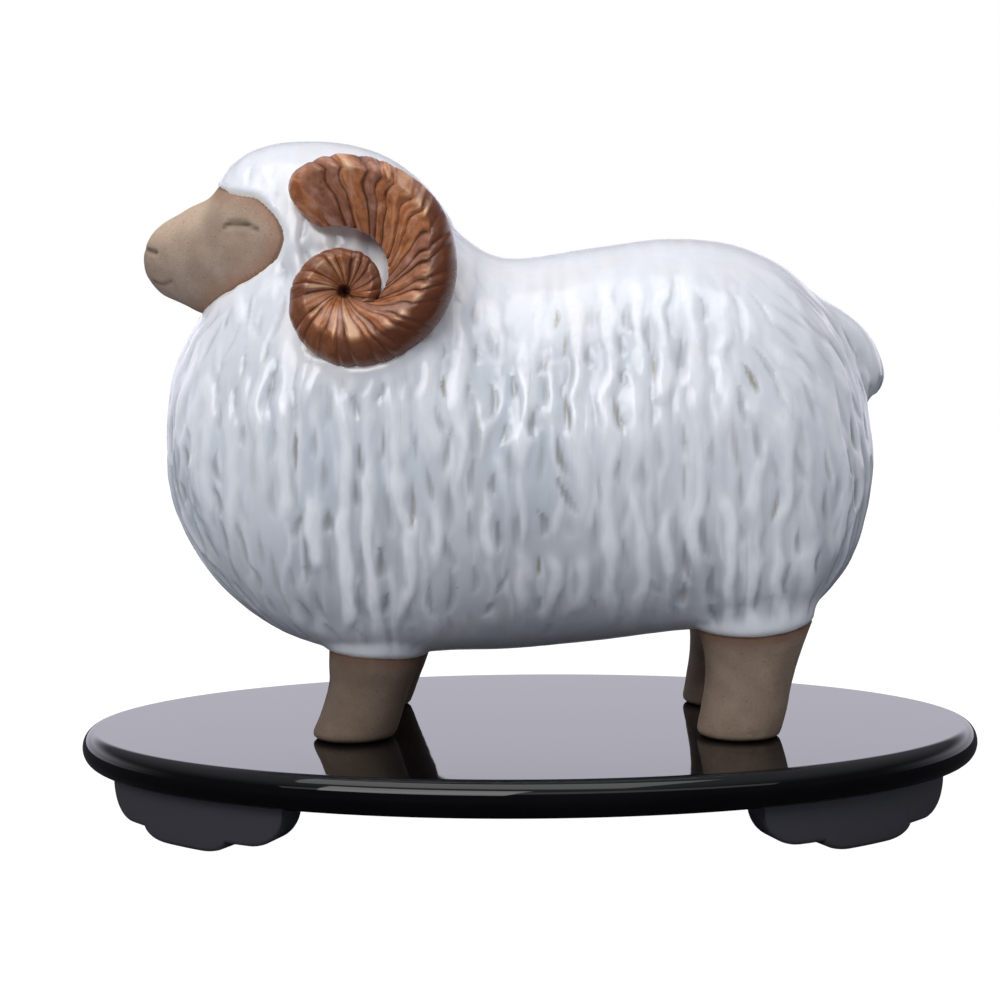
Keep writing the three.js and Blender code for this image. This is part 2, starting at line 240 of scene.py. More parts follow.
ram = {
    # x, top, bottom, half width, roundness of the lower half
    "torso": [
        [-106.2, 88, 88, 0.5, 0.9], [-105, 101, 75, 15, 0.9], [-102.2, 112, 63, 26, 0.9],
        [-96.8, 122.5, 52, 35.5, 0.88], [-86.5, 136, 39, 44.5, 0.85], [-70, 148.5, 28.8, 50.5, 0.68],
        [-48, 157.5, 24, 53, 0.48], [-30, 159, 23.4, 53, 0.56], [-18, 147.5, 23, 52.5, 0.72],
        [-4, 140, 23, 52, 0.82], [22, 143, 25.2, 52, 0.82], [44, 145.2, 28.5, 52, 0.66],
        [63, 142.8, 30.8, 51, 0.46], [79, 135.6, 33.4, 46.5, 0.5], [89.5, 125, 39.5, 39.5, 0.68],
        [97, 112.5, 49.5, 29.5, 0.85], [101.8, 99, 66, 17, 0.9], [103.6, 84, 84, 0.5, 0.9],
    ],
    "widest": 0.42,   # how far up the torso is widest
    # top x, top z, bottom x, bottom z, half width
    "head": [
        [-113.7, 140.5, -113.7, 139.5, 0.5], [-112.4, 146.6, -112.8, 135.4, 7],
        [-108.6, 151.2, -108.6, 130.6, 11.3], [-101.5, 155.4, -101.5, 127.2, 15],
        [-93, 160.4, -95, 123, 19], [-84.4, 170.3, -87, 116, 25.5], [-75, 174.7, -78, 108, 30],
        [-63, 175.7, -66, 102, 33], [-50, 174.3, -52, 98, 34], [-38, 169.8, -38, 98, 33],
        [-27.5, 161.2, -27, 102, 29.5], [-19.5, 149, -20, 110, 22], [-15, 133, -16, 124, 8],
    ],
    # x, z of the line where the fleece ends around the face, and two corners in front of the ram
    "faceBorder": [
        [-95.6, 123.6], [-89.2, 127.4], [-78.2, 132.2], [-70.2, 136.8], [-66.9, 143.6],
        [-68.9, 150], [-75, 156], [-83.2, 158.7], [-90.5, 162],
    ],
    "faceFront": [[-130, 164], [-130, 122.5]],
    # the face lies this far below the fleece, from the first x on, fully from the second
    "faceStep": 1.4, "stepFrom": -99, "stepFull": -90,
    "tail": {"radii": (20, 12, 10.5), "lean": 50, "x": 93.4, "z": 112.6},
    # z, middle x, half width
    "frontLeg": [
        [0, -49.6, 9.6], [0.6, -49.5, 11.2], [2.2, -49.2, 12], [8, -46.9, 11.8],
        [16, -44.2, 12.2], [24, -42.8, 13.4], [40, -42, 13],
    ],
    "hindLeg": [
        [0, 61.7, 9.6], [0.6, 61.8, 11.2], [2.2, 61.9, 11.9], [8, 63.1, 12.2],
        [16, 64.5, 12.4], [25, 65.7, 13.9], [33, 65.6, 17],
    ],
    "shoulder": [
        [24.2, -42.8, 11], [24.6, -42.8, 13.8], [27, -42.6, 15.2], [34, -42, 16], [46, -41, 16],
    ],
    "haunch": [
        [30.2, 65.7, 12], [30.6, 65.7, 16.8], [33, 65.6, 18], [40, 65, 18.2], [52, 63, 17],
    ],
    "legSpread": 26.3,
    # where the glaze ends on a leg: its height at an x, and from there its slope in front or bow behind
    "frontGlaze": (25.0, -42.8, -0.09), "hindGlaze": (30.6, 60, 0.0055),
}
border = rowsAt(ram["faceBorder"], np.linspace(0, 1, 61))
faceOutline = np.vstack([border, ram["faceFront"]])


def torsoRings(count, sides):
    angle = np.arange(sides) * 2 * math.pi / sides
    rings = []
    for x, top, bottom, half, roundness in evenRows(ram["torso"], count):
        middle = bottom + ram["widest"] * (top - bottom)
        power = np.where(np.cos(angle) > 0, 1, roundness)
        up = np.sign(np.cos(angle)) * np.abs(np.cos(angle)) ** power
        out = np.sign(np.sin(angle)) * np.abs(np.sin(angle)) ** power
        reach = np.where(up > 0, top - middle, middle - bottom)
        rings.append(np.stack([np.full(sides, x), half * out, middle + reach * up], axis=1))
    return np.array(rings)


def headRings(rows, sides, inset=0.0):
    angle = np.arange(sides) * 2 * math.pi / sides
    rings = []
    for topX, topZ, bottomX, bottomZ, half in rows:
        sink = inset * float(smoothStep(ram["stepFrom"], ram["stepFull"], topX))
        middle = np.array([(topX + bottomX) / 2, 0, (topZ + bottomZ) / 2])
        upright = np.array([topX, 0, topZ]) - middle
        upright *= 1 - sink / max(np.linalg.norm(upright), 1e-6)
        ring = middle + np.cos(angle)[:, None] * upright
        ring[:, 1] = (half - sink) * np.sin(angle)
        rings.append(ring)
    return np.array(rings)


def tailRings(count, sides):
    # an egg that leans back
    tail = ram["tail"]
    turn = np.linspace(0, math.pi, count)[:, None]
    around = np.linspace(0, 2 * math.pi, sides, endpoint=False)[None, :]
    egg = [-np.cos(turn) + 0 * around, np.sin(turn) * np.cos(around), np.sin(turn) * np.sin(around)]
    egg = np.stack(egg, axis=2) * np.array(tail["radii"])
    lean = math.radians(tail["lean"])
    x = egg[..., 0] * math.cos(lean) + egg[..., 2] * math.sin(lean)
    z = -egg[..., 0] * math.sin(lean) + egg[..., 2] * math.cos(lean)
    return np.stack([x + tail["x"], egg[..., 1], z + tail["z"]], axis=2)


def legRings(rows, count, sides, y):
    angle = np.arange(sides) * 2 * math.pi / sides
    rings = []
    for z, x, half in evenRows(rows, count):
        ring = [x + half * np.cos(angle), y + half * np.sin(angle), np.full(sides, z)]
        rings.append(np.stack(ring, axis=1))
    return np.array(rings)


def legBorder(x, front):
    # height at which the glaze ends on a leg
    height, middle, curve = ram["frontGlaze" if front else "hindGlaze"]
    return height + curve * (x - middle) if front else height + curve * (x - middle) ** 2


# Camera, at the angle of the photograph

shot = {
    "focal": 57.6, "sensor": 36, "clip": (0.01, 30),
    "eye": (9.74, -485.3, 119.4), "yaw": -2.0, "pitch": 3.22, "roll": 0.74,
}


def placeCamera():
    data = bpy.data.cameras.new("camera")
    data.lens, data.sensor_width = shot["focal"], shot["sensor"]
    data.clip_start, data.clip_end = shot["clip"]
    camera = addObject("camera", data)
    yaw, pitch, roll = (math.radians(shot[key]) for key in ("yaw", "pitch", "roll"))
    ahead = Vector((math.sin(yaw) * math.cos(pitch), math.cos(yaw) * math.cos(pitch), -math.sin(pitch)))
    right = Vector((math.cos(yaw), -math.sin(yaw), 0))
    above = right.cross(ahead)
    tiltedRight = right * math.cos(roll) - above * math.sin(roll)
    tiltedUp = right * math.sin(roll) + above * math.cos(roll)
    turn = Matrix((tiltedRight, tiltedUp, -ahead)).transposed().to_4x4()
    camera.matrix_world = Matrix.Translation(Vector(shot["eye"]) * mm) @ turn
    bpy.context.scene.camera = camera


placeCamera()
print("camera placed")


# Helpers for materials

def feed(tree, socket, value):
    # a link or a fixed value for a socket
    if isinstance(value, bpy.types.NodeSocket):
        tree.links.new(value, socket)
    else:
        socket.default_value = value


def node(tree, kind, inputs=None, **settings):
    # a node with its settings, and values or links for its inputs
    made = tree.nodes.new(kind)
    for key, value in settings.items():
        setattr(made, key, value)
    for key, value in (inputs or {}).items():
        feed(tree, made.inputs[key], value)
    return made


def calc(tree, how, a, b=0.0):
    return node(tree, "ShaderNodeMath", {0: a, 1: b}, operation=how).outputs[0]


def times(tree, a, b):
    return calc(tree, "MULTIPLY", a, b)


def plus(tree, a, b):
    return calc(tree, "ADD", a, b)


def ramp(tree, value, low, high, lowTo=0.0, highTo=1.0):
    made = node(tree, "ShaderNodeMapRange", {0: value, 1: low, 2: high, 3: lowTo, 4: highTo})
    made.interpolation_type = "SMOOTHSTEP"
    return made.outputs[0]


def blendColor(tree, share, a, b, how="MIX"):
    a, b = ((*color, 1) if isinstance(color, tuple) else color for color in (a, b))
    inputs = {0: share, 6: a, 7: b}
    return node(tree, "ShaderNodeMix", inputs, data_type="RGBA", blend_type=how).outputs[2]


def blendValue(tree, share, a, b):
    return node(tree, "ShaderNodeMix", {0: share, 2: a, 3: b}).outputs[0]


def painted(tree, *names):
    # the painted values of these names, one socket each
    return [node(tree, "ShaderNodeAttribute", attribute_name=name).outputs["Fac"] for name in names]


def place(tree, stretch=(1, 1, 1)):
    # object coordinates in millimetres, stretched
    spot = node(tree, "ShaderNodeTexCoord").outputs["Object"]
    scale = tuple(share / mm for share in stretch)
    return node(tree, "ShaderNodeVectorMath", {0: spot, 1: scale}, operation="MULTIPLY").outputs[0]


def cloud(tree, vector, size, detail=2.0, rough=0.5):
    inputs = {"Vector": vector, "Scale": 1 / size, "Detail": detail, "Roughness": rough}
    return node(tree, "ShaderNodeTexNoise", inputs).outputs["Fac"]


def newMaterial(name):
    material = bpy.data.materials.new(name)
    material.use_nodes = True
    tree = material.node_tree
    tree.nodes.clear()
    shader = tree.nodes.new("ShaderNodeBsdfPrincipled")
    output = tree.nodes.new("ShaderNodeOutputMaterial")
    tree.links.new(shader.outputs[0], output.inputs[0])
    return material, tree, shader


def newGroup(name, inputs, outputs):
    # an input without a value is a place, all the others are numbers
    group = bpy.data.node_groups.new(name, "ShaderNodeTree")
    for label, value in inputs.items():
        kind = "NodeSocketVector" if value is None else "NodeSocketFloat"
        made = group.interface.new_socket(label, in_out="INPUT", socket_type=kind)
        if value is not None:
            made.default_value = value
    for label in outputs:
        group.interface.new_socket(label, in_out="OUTPUT", socket_type="NodeSocketFloat")
    return group, group.nodes.new("NodeGroupInput").outputs, group.nodes.new("NodeGroupOutput").inputs


def useGroup(tree, group, spot, values):
    return node(tree, "ShaderNodeGroup", {"Place": spot, **values}, node_tree=group).outputs


def makeSpeckGroup():
    # small iron specks of the kiln: a mask and a height
    group, given, result = newGroup(
        "kilnSpecks", {"Place": None, "Spacing": 3.0, "Size": 0.12, "Share": 0.3}, ["Mask", "Height"])
    scale = calc(group, "DIVIDE", 1.0, given["Spacing"])
    cells = node(group, "ShaderNodeTexVoronoi", {"Vector": given["Place"], "Scale": scale}).outputs
    near = calc(group, "LESS_THAN", cells["Distance"], given["Size"])
    tint = node(group, "ShaderNodeSeparateColor", {0: cells["Color"]}).outputs[0]
    mask = times(group, near, calc(group, "LESS_THAN", tint, given["Share"]))
    depth = -0.04
    group.links.new(mask, result["Mask"])
    group.links.new(times(group, mask, depth), result["Height"])
    return group


def makeRippleGroup():
    # slow ripples and fine unevenness of a fired or polished surface
    group, given, result = newGroup(
        "surfaceRipple",
        {"Place": None, "Broad": 6.0, "Fine": 0.8, "Broad Height": 0.05, "Fine Height": 0.01},
        ["Height", "Shift"])
    waves = {}
    for size, detail in (("Broad", 1.0), ("Fine", 2.0)):
        scale = calc(group, "DIVIDE", 1.0, given[size])
        inputs = {"Vector": given["Place"], "Scale": scale, "Detail": detail}
        waves[size] = node(group, "ShaderNodeTexNoise", inputs).outputs["Fac"]
    heights = [times(group, wave, given[size + " Height"]) for size, wave in waves.items()]
    group.links.new(plus(group, *heights), result["Height"])
    group.links.new(calc(group, "SUBTRACT", waves["Broad"], 0.5), result["Shift"])
    return group


kilnSpecks = makeSpeckGroup()
surfaceRipple = makeRippleGroup()


def speckled(tree, spot, color, look, tint):
    # iron specks over a colour, and their height
    specks = useGroup(tree, kilnSpecks, spot, look["specks"])
    color = blendColor(tree, times(tree, specks["Mask"], look["speckShare"]), color, tint)
    return color, specks["Height"]


def uneven(tree, spot, look):
    # a roughness that wanders with the ripples, and their height
    ripple = useGroup(tree, surfaceRipple, spot, look["ripple"])
    rough = plus(tree, look["roughness"], times(tree, ripple["Shift"], look["roughShift"]))
    return rough, ripple["Height"]


def finishShader(tree, shader, color, rough, height, look):
    # a height in millimetres becomes a bump
    bump = node(tree, "ShaderNodeBump", {"Strength": 1.0, "Distance": mm, "Height": height}).outputs[0]
    inputs = {"Base Color": color, "Roughness": rough, "Normal": bump, **look["shader"]}
    for key, value in inputs.items():
        feed(tree, shader.inputs[key], value)


whiteGlaze = {
    "ridge": (0.83, 0.85, 0.895), "valley": (0.61, 0.645, 0.71), "dent": (0.34, 0.355, 0.37),
    "warm": (0.97, 0.955, 0.93), "thin": (0.32, 0.275, 0.19), "rim": (0.93, 0.86, 0.77),
    "haloAndPaintedLight": (0.98, 0.97, 0.945),
    # how strongly each shows, from 0 to 1
    "locks": {"lockWide": 1.0, "lockFine": 0.6},
    "streakShare": 0.35, "lowShadeShare": 0.45, "dentShare": 0.9, "warmShare": 0.8, "thinShare": 0.8,
    "valleyDepth": -0.16, "dentDepth": -0.2,   # millimetres
    "roughness": 0.22, "roughShift": 0.15, "rimRoughness": 0.15,
    "specks": {"Spacing": 9.0, "Size": 0.035, "Share": 0.15}, "speckShare": 0.6,
    "ripple": {"Broad": 2.4, "Fine": 0.6, "Broad Height": 0.07, "Fine Height": 0.006},
    "shader": {"IOR": 1.5, "Coat Weight": 0.3, "Coat Roughness": 0.08},
}


def makeWhiteGlaze():
    material, tree, shader = newMaterial("whiteGlaze")
    look = whiteGlaze
    dent, thin, edge, haloAndPaintedLight = painted(tree, "dent", "thin", "edge", "haloAndPaintedLight")
    lively, low = painted(tree, "lively", "low")
    here, drawn = place(tree), place(tree, (1, 1, 0.3))
    # bright ridges between valleys in which the glaze has pooled
    locks = zip(painted(tree, *look["locks"]), look["locks"].values())
    ridge = calc(tree, "MAXIMUM", *(ramp(tree, lock, 0.1, 0.95, 0, most) for lock, most in locks))
    valley = times(tree, calc(tree, "SUBTRACT", 1.0, ridge), lively)
    color = blendColor(tree, valley, look["ridge"], look["valley"])
    streak = ramp(tree, cloud(tree, drawn, 1.5, 3), 0.42, 0.75, 0, look["streakShare"])
    color = blendColor(tree, times(tree, streak, lively), color, look["valley"])
    # painted shade: low on the body the valleys take the dent colour
    deep = times(tree, valley, ramp(tree, low, 0, 1, 0, look["lowShadeShare"]))
    color = blendColor(tree, deep, color, look["dent"])
    color = blendColor(tree, ramp(tree, dent, 0, 1, 0, look["dentShare"]), color, look["dent"])
    patches = ramp(tree, cloud(tree, here, 16, 2), 0.45, 0.7, 0, look["warmShare"])
    color = blendColor(tree, patches, color, look["warm"], "MULTIPLY")
    torn = ramp(tree, cloud(tree, drawn, 1.1), 0.2, 0.55)
    bare = times(tree, ramp(tree, thin, 0.2, 0.95, 0, look["thinShare"]), torn)
    color = blendColor(tree, bare, color, look["thin"])
    color, speckHeight = speckled(tree, here, color, look, look["thin"])
    # the glaze is warmer along its edge; around the horns it is whiter, partly its own edge and partly
    # painted light against the shade there
    wander = times(tree, calc(tree, "SUBTRACT", cloud(tree, here, 1.5), 0.5), 0.9)
    rim = ramp(tree, plus(tree, edge, wander), 0.25, 0.85, 1, 0)
    color = blendColor(tree, rim, color, look["rim"])
    color = blendColor(tree, ramp(tree, haloAndPaintedLight, 0.1, 0.6), color, look["haloAndPaintedLight"])
    rough, rippleHeight = uneven(tree, drawn, look)
    rough = plus(tree, rough, times(tree, rim, look["rimRoughness"]))
    height = plus(tree, rippleHeight, speckHeight)
    height = plus(tree, height, times(tree, valley, look["valleyDepth"]))
    height = plus(tree, height, times(tree, ramp(tree, dent, 0, 1), look["dentDepth"]))
    finishShader(tree, shader, color, rough, height, look)
    return material


hornGlaze = {
    "ridge": (0.57, 0.235, 0.10), "body": (0.35, 0.115, 0.041), "groove": (0.075, 0.024, 0.012),
    "flank": (0.135, 0.041, 0.018), "tan": (0.76, 0.47, 0.28), "dull": (0.27, 0.125, 0.09),
    "pinkSheen": (0.58, 0.33, 0.25),
    "dullShare": 0.7, "darkShare": 0.7, "pinkSheenShare": 0.5,
    "roughness": 0.28, "roughShift": 0.2,
    "specks": {"Spacing": 2.5, "Size": 0.09, "Share": 0.25}, "speckShare": 0.5,
    "ripple": {"Broad": 1.1, "Fine": 0.35, "Broad Height": 0.12, "Fine Height": 0.02},
    "shader": {"IOR": 1.5, "Specular IOR Level": 0.36, "Coat Weight": 0.1, "Coat Roughness": 0.1},
}


def makeHornGlaze():
    material, tree, shader = newMaterial("hornGlaze")
    look = hornGlaze
    groove, flank, crestGlazeAndHighlight, chance = painted(tree, "groove", "flank", "crestGlazeAndHighlight", "tint")
    along, across = painted(tree, "along", "across")
    here = place(tree)
    # streaks run across the horn, along its folds
    drawn = times(tree, across, 0.22)
    flow = node(tree, "ShaderNodeCombineXYZ", {0: along, 1: drawn, 2: 0.0}).outputs[0]
    streak = ramp(tree, cloud(tree, flow, 0.9, 3), 0.35, 0.7)
    color = blendColor(tree, streak, look["body"], look["ridge"])
    color = blendColor(tree, ramp(tree, chance, 0.35, 0.9, 0, look["dullShare"]), color, look["dull"])
    mottle = cloud(tree, here, 3.4, 3)
    color = blendColor(tree, ramp(tree, mottle, 0.5, 0.75, 0, look["darkShare"]), color, look["flank"])
    # pink mottles stand in for a soft sheen: painted sheen
    color = blendColor(tree, ramp(tree, mottle, 0.28, 0.5, look["pinkSheenShare"], 0), color, look["pinkSheen"])
    color = blendColor(tree, flank, color, look["flank"])
    # pale tan on the crests: thinner glaze there, and a painted highlight
    paleAndPaintedLight = times(tree, crestGlazeAndHighlight, ramp(tree, cloud(tree, flow, 2.4, 2), 0.42, 0.62))
    color = blendColor(tree, paleAndPaintedLight, color, look["tan"])
    # painted shade: the grooves and the pit of the coil are darkened
    color = blendColor(tree, ramp(tree, groove, 0.36, 1.0), color, look["groove"])
    color, _ = speckled(tree, here, color, look, look["groove"])
    rough, height = uneven(tree, flow, look)
    finishShader(tree, shader, color, rough, height, look)
    return material


bareClay = {
    "body": (0.345, 0.25, 0.185), "light": (0.42, 0.315, 0.24), "red": (0.33, 0.16, 0.10),
    "dark": (0.065, 0.044, 0.032), "grain": (0.19, 0.138, 0.105), "paleAndPaintedLight": (0.56, 0.42, 0.31),
    "redShare": 0.75, "grainShare": 0.45, "lightShare": 0.3, "darkShare": 0.9,
    "roughness": 0.8, "roughShift": 0.25,
    "specks": {"Spacing": 1.6, "Size": 0.13, "Share": 0.25}, "speckShare": 0.55,
    "ripple": {"Broad": 2.0, "Fine": 0.4, "Broad Height": 0.10, "Fine Height": 0.10},
    "shader": {"Specular IOR Level": 0.3},
}


def makeBareClay():
    material, tree, shader = newMaterial("bareClay")
    look = bareClay
    shade, flash, paleAndPaintedLight = painted(tree, "shade", "flash", "paleAndPaintedLight")
    here = place(tree)
    broad = ramp(tree, cloud(tree, here, 9, 3), 0.35, 0.68)
    color = blendColor(tree, broad, look["body"], look["light"])
    # paler where the face looks up: painted light
    color = blendColor(tree, paleAndPaintedLight, color, look["paleAndPaintedLight"])
    color = blendColor(tree, times(tree, flash, look["redShare"]), color, look["red"])
    sand = cloud(tree, here, 0.45, 2, 0.6)
    color = blendColor(tree, ramp(tree, sand, 0.5, 0.72, 0, look["grainShare"]), color, look["grain"])
    color = blendColor(tree, ramp(tree, sand, 0.28, 0.44, look["lightShare"], 0), color, look["light"])
    color, speckHeight = speckled(tree, here, color, look, look["dark"])
    color = blendColor(tree, times(tree, shade, look["darkShare"]), color, look["dark"])
    rough, rippleHeight = uneven(tree, here, look)
    finishShader(tree, shader, color, rough, plus(tree, rippleHeight, speckHeight), look)
    return material


blackLacquer = {"body": (0.0015, 0.0015, 0.002), "dust": (0.12, 0.12, 0.13), "roughness": 0.04}
dullLacquer = {"body": (0.052, 0.051, 0.062), "dust": (0.08, 0.08, 0.085), "roughness": 0.34}
lacquer = {
    "haze": 0.01, "hazeRoughness": 1.5, "dustShare": 0.35,
    "specks": {"Spacing": 5.0, "Size": 0.02, "Share": 0.3},
    "ripple": {"Broad": 12.0, "Fine": 1.2, "Broad Height": 0.02, "Fine Height": 0.0006},
    "shader": {"IOR": 1.42},
}


def makeLacquer(name, look):
    # polished black, with a faint haze and a little dust
    material, tree, shader = newMaterial(name)
    here = place(tree)
    dust = useGroup(tree, kilnSpecks, here, lacquer["specks"])
    haze = ramp(tree, cloud(tree, here, 30, 3), 0.4, 0.75, 0, lacquer["haze"])
    share = plus(tree, times(tree, dust["Mask"], lacquer["dustShare"]), haze)
    color = blendColor(tree, share, look["body"], look["dust"])
    rough = plus(tree, look["roughness"], times(tree, haze, lacquer["hazeRoughness"]))
    ripple = useGroup(tree, surfaceRipple, here, lacquer["ripple"])
    finishShader(tree, shader, color, rough, ripple["Height"], lacquer)
    return material


fleeceFinish, hornFinish, clayFinish = makeWhiteGlaze(), makeHornGlaze(), makeBareClay()
boardFinish, footFinish = makeLacquer("blackLacquer", blackLacquer), makeLacquer("dullLacquer", dullLacquer)
print("materials made")


# Horns

horns = {
    "centre": (-46.6, 127.2),
    "pit": (-1.3, 0.2),     # where the folds of the coil meet, from the centre
    "pitY": 41.5,           # y of the coil's surface there
    # degrees, outer radius, half width, y, inner radius, place of the keel, degrees to a ridge, its lean
    "rows": [
        [122.5, 36.6, 7.4, 34.5, 21.8, 0.42, 12, 5], [111, 37.9, 8.8, 35.4, 20.0, 0.46, 11, 7],
        [90, 38.3, 9.9, 37.5, 18.2, 0.52, 9.5, 8], [45, 35.1, 10.1, 42, 14.3, 0.48, 9.2, 12],
        [25, 32.5, 9.9, 43.5, 12.3, 0.24, 9.5, 15],
        [0, 29.3, 9.6, 45, 9.5, 0.14, 10, 19], [-25, 25.9, 9.2, 46.4, 7.0, 0.0, 11, 21],
        [-45, 23.7, 8.8, 47.2, 2.2, -0.05, 12, 22], [-70, 21.8, 8.2, 47.7, -0.6, -0.05, 13, 24],
        [-100, 20.4, 7.8, 47.8, -1, -0.08, 15, 25],
        [-150, 17.6, 6.6, 47.8, -1, 0.0, 19, 28], [-210, 14.0, 5.5, 47, -1, 0.2, 22, 30],
        [-270, 11.8, 4.7, 46.6, -1, 0.4, 21, 30], [-330, 10.4, 4.0, 46.4, -1, 0.4, 20, 26],
        [-402, 7.8, 3.1, 46, -1, 0.2, 20, 20],
    ],
    "rings": 900, "front": 72, "back": 14,
    # degrees over which the root and the tip are rounded off, and where the hook becomes the coil
    "rootTurn": 11, "tipTurn": 24, "coilFrom": -30, "coilFull": -70,
    # the section: powers of its curves, its least size, and how high its inner rim lies
    "rootRound": 2.3, "sectionRound": 2.4, "thinnest": 0.03, "innerRise": 0.2, "evenShare": 0.45,
    # how the grooves run, in degrees: they bow inside the keel, lean outside it and wander
    "bow": 2.2, "outerLean": 6, "wander": 1.9,
    # height of a fold as a share of its width, then in millimetres its most, the keel and slow lumps
    "relief": 0.35, "reliefMost": 1.4, "keelRise": 0.35, "lumps": 0.3,
    "foldRound": 0.6, "creaseWidth": 0.22, "creaseDepth": 0.16, "flankCalm": 0.94,
    "seed": 31,
}


def hornSection():
    # the bare horn: a row for each step along it, a column for each point across the side that shows
    rows = evenRows(horns["rows"], horns["rings"])
    degrees, outer, half, y, inner, keel, ridge, lean = (column[:, None] for column in rows.T)
    # across is 1 at the outer rim and -1 at the inner one, with more points near both
    part, even = np.linspace(0, 1, horns["front"])[None, :], horns["evenShare"]
    across = even * (1 - 2 * part) + (1 - even) * np.cos(math.pi * part)
    fromRoot = np.clip((degrees[0, 0] - degrees) / horns["rootTurn"], 0, 1)
    toTip = np.clip((degrees - degrees[-1, 0]) / horns["tipTurn"], 0, 1)
    power = horns["rootRound"]
    size = (1 - (1 - fromRoot) ** power) ** (1 / power) * np.sqrt(1 - (1 - toTip) ** 2)
    size = np.maximum(size, horns["thinnest"])
    middle = outer - half
    reachIn, reachOut = (middle - inner) * size, half * size
    return SimpleNamespace(
        degrees=degrees, across=across, half=half, y=y, keel=keel, ridge=ridge, lean=lean,
        toTip=toTip, size=size, middle=middle, reachIn=reachIn, reachOut=reachOut,
        radius=middle + np.where(across > 0, across * reachOut, across * reachIn),
        coil=smoothStep(horns["coilFrom"], horns["coilFull"], degrees))


def fromKeel(across, keel):
    # shares of the way from the keel to the inner rim and to the outer one
    return np.clip((keel - across) / (1 + keel), 0, 1), np.clip((across - keel) / (1 - keel), 0, 1)


def scattered(values):
    # a share from 0 to 1 for each value, in no order
    wild = np.sin(values) * 43.7585
    return wild - np.floor(wild)


def hornFolds(bare):
    # folds between grooves that lean and wander, counted from the root
    degrees, across = bare.degrees, bare.across
    inward, outward = fromKeel(across, bare.keel)
    fine = np.linspace(degrees[0, 0] + 60, degrees[-1, 0] - 60, 2400)
    spacing = np.interp(-fine, -degrees[:, 0], bare.ridge[:, 0])
    count = np.r_[0, np.cumsum((fine[:-1] - fine[1:]) / spacing[:-1])]
    where = degrees + bare.lean * (0.12 * inward + 0.88 * inward ** 2) - horns["outerLean"] * outward
    where = where - horns["bow"] * np.sin(np.clip(inward / 0.45, 0, 1) * math.pi) * (1 - bare.coil)
    spots = [where / 14 + 40, np.broadcast_to(across * 1.1 + 5, where.shape), np.zeros(where.shape)]
    spots = np.stack([spot.ravel() for spot in spots], axis=1)
    wave = softNoise(spots, horns["seed"], 2).reshape(where.shape)
    lumps = softNoise(spots * np.array([0.7, 1.2, 1]), horns["seed"] + 9).reshape(where.shape)
    phase = np.interp(-(where + horns["wander"] * wave), -fine, count)
    # no two folds are equally wide
    phase += 0.2 * np.sin(phase * 2.4 + 1) + 0.07 * np.sin(phase * 5.3)
    number = np.floor(phase)
    chance = scattered(number * 12.9898)
    # each is rounded, with its crest off the middle, and some have a finer crease
    share = (phase - number) ** (0.7 + 0.8 * chance)
    fold = np.sin(math.pi * np.clip(share, 0, 1)) ** horns["foldRound"]
    second = np.abs(2 * ((phase * 2.3 + 0.8 * wave) % 1) - 1)
    crease = bell(1 - second, horns["creaseWidth"]) * smoothStep(-0.2, 0.5, wave) * fold
    return SimpleNamespace(phase=phase, fold=fold, crease=crease, lumps=lumps, chance=chance,
                           strength=0.75 + 0.5 * scattered(number * 78.233 + 2))


def hornBack(bare, innerLevel):
    # the hidden side, which closes the section inside the head
    turn = np.linspace(math.pi, 0, horns["back"] + 2)[1:-1][None, :]
    reach = np.where(np.cos(turn) > 0, bare.reachOut, bare.reachIn)
    radius = bare.middle + reach * np.cos(turn) * 0.94
    depth = -(1.3 * bare.half + 1) * bare.size * np.sin(turn)
    depth = depth + innerLevel * bare.size * 0.5 * (1 - np.cos(turn))
    return radius, np.minimum(depth, 0) + np.zeros_like(radius)


